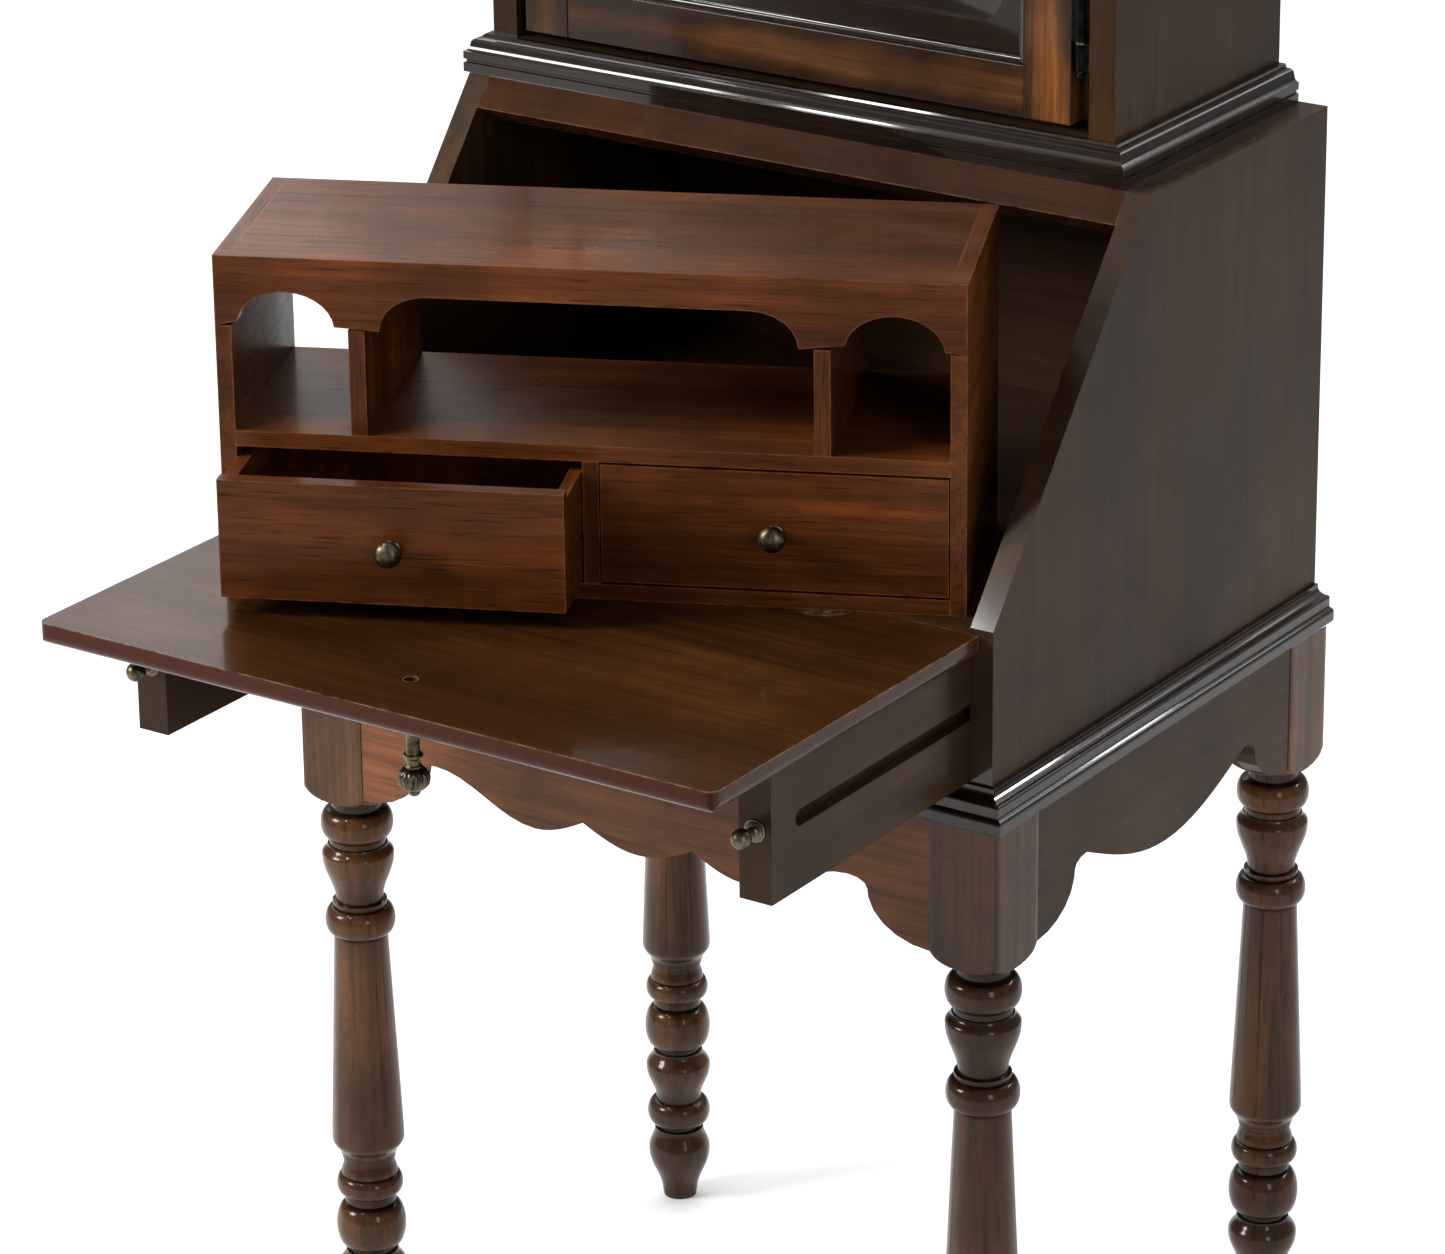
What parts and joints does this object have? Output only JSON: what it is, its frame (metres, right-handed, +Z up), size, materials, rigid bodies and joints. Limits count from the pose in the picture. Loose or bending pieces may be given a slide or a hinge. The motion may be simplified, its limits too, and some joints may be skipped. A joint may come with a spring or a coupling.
{
  "type": "secretary desk",
  "caption": "Slope-front secretary desk on turned legs, with a fall front on pull-out lopers, a loose pigeonhole organizer with drawers, and a glazed hutch above.",
  "frame": {"origin": "floor level, under the middle of the bounding box of the desk as it stands with its lid open", "axes": "+Z up; the open lid and the drawers face -Y; +X to the right as seen from the front"},
  "size_m": [0.645, 0.824, 1.952],
  "materials": {
    "case_wood": "dark brown lacquer, satin",
    "molding_wood": "near-black lacquer, gloss",
    "red_wood": "dark reddish brown lacquer, satin gloss",
    "organizer_wood": "warm reddish brown lacquer, satin, worn edges",
    "brass": "antique, darkened",
    "black_iron": "black, satin",
    "nickel": "plated, satin",
    "glide_black": "matte",
    "pane": "clear, polished"
  },
  "bodies": {
    "case": {"side_panel_left": "case_wood", "side_panel_right": "case_wood", "case_back": "case_wood", "desk_floor": "red_wood", "case_bottom": "case_wood", "case_top": "case_wood", "slope_rail": "red_wood", "front_rail": "red_wood", "loper_guides": "red_wood", "loper_stop_pins": "nickel", "waist_molding": "molding_wood", "apron_front": "red_wood", "apron_left": "case_wood", "apron_right": "case_wood", "apron_back": "case_wood", "leg_front_left": "red_wood", "leg_front_right": "red_wood", "leg_rear_left": "red_wood", "leg_rear_right": "red_wood", "foot_glides": "glide_black", "floor_hinge_leaves": "nickel", "hutch_side_left": "case_wood", "hutch_side_right": "case_wood", "hutch_back": "case_wood", "hutch_bottom": "case_wood", "hutch_top": "case_wood", "hutch_rails": "case_wood", "hutch_plinth": "molding_wood", "hutch_cornice": "molding_wood", "hutch_shelves": "case_wood", "hutch_hinge_leaves": "black_iron", "hutch_hinge_washers": "brass"},
    "fall_front": {"lid_panel": "red_wood", "lid_hinge_leaves": "nickel", "pull_mount": "brass"},
    "pull": {"pull_pendant": "brass"},
    "left_loper": {"loper_left": "case_wood", "loper_knob_left": "brass"},
    "right_loper": {"loper_right": "case_wood", "loper_knob_right": "brass"},
    "organizer": {"organizer_side_left": "organizer_wood", "organizer_side_right": "organizer_wood", "organizer_top": "organizer_wood", "organizer_bottom": "organizer_wood", "organizer_shelf": "organizer_wood", "organizer_fascia": "organizer_wood", "organizer_dividers": "organizer_wood"},
    "left_drawer": {"drawer_left_front": "organizer_wood", "drawer_left_box": "organizer_wood", "drawer_left_bottom": "organizer_wood", "drawer_left_knob": "brass"},
    "right_drawer": {"drawer_right_front": "organizer_wood", "drawer_right_box": "organizer_wood", "drawer_right_bottom": "organizer_wood", "drawer_right_knob": "brass"},
    "hutch_door": {"door_frame": "red_wood", "door_fret": "molding_wood", "door_glass": "pane", "door_knob": "brass", "door_hinge_leaves": "black_iron"}
  },
  "joints": [
    {"name": "fall_front_hinge", "type": "hinge", "parent": "case", "child": "fall_front", "pos_m": [0, -0.0808, 0.7975], "axis": [-1, 0, 0], "range_deg": [0, 128.74]},
    {"name": "organizer_lift", "type": "slide", "parent": "case", "child": "organizer", "axis": [0, 0, 1], "range_m": [0, 0.72]},
    {"name": "pull_swing", "type": "hinge", "parent": "fall_front", "child": "pull", "pos_m": [0, -0.356, 0.772], "axis": [1, 0, 0], "range_deg": [-80, 80]},
    {"name": "left_loper_slide", "type": "slide", "parent": "case", "child": "left_loper", "axis": [0, 1, 0], "range_m": [-0.016, 0.242]},
    {"name": "right_loper_slide", "type": "slide", "parent": "case", "child": "right_loper", "axis": [0, 1, 0], "range_m": [0, 0.258]},
    {"name": "left_drawer_slide", "type": "slide", "parent": "organizer", "child": "left_drawer", "axis": [0.4179, -0.9085, 0], "range_m": [-0.066, 0.07]},
    {"name": "right_drawer_slide", "type": "slide", "parent": "organizer", "child": "right_drawer", "axis": [0.4179, -0.9085, 0], "range_m": [0, 0.136]},
    {"name": "hutch_door_hinge", "type": "hinge", "parent": "case", "child": "hutch_door", "pos_m": [0.234, 0.1625, 1.5], "axis": [0, 0, -1], "range_deg": [-110, 0]}
  ],
  "couplings": [
    {"joint": "organizer_lift", "follows": "fall_front_hinge", "m_per_rad": 0.315}
  ]
}
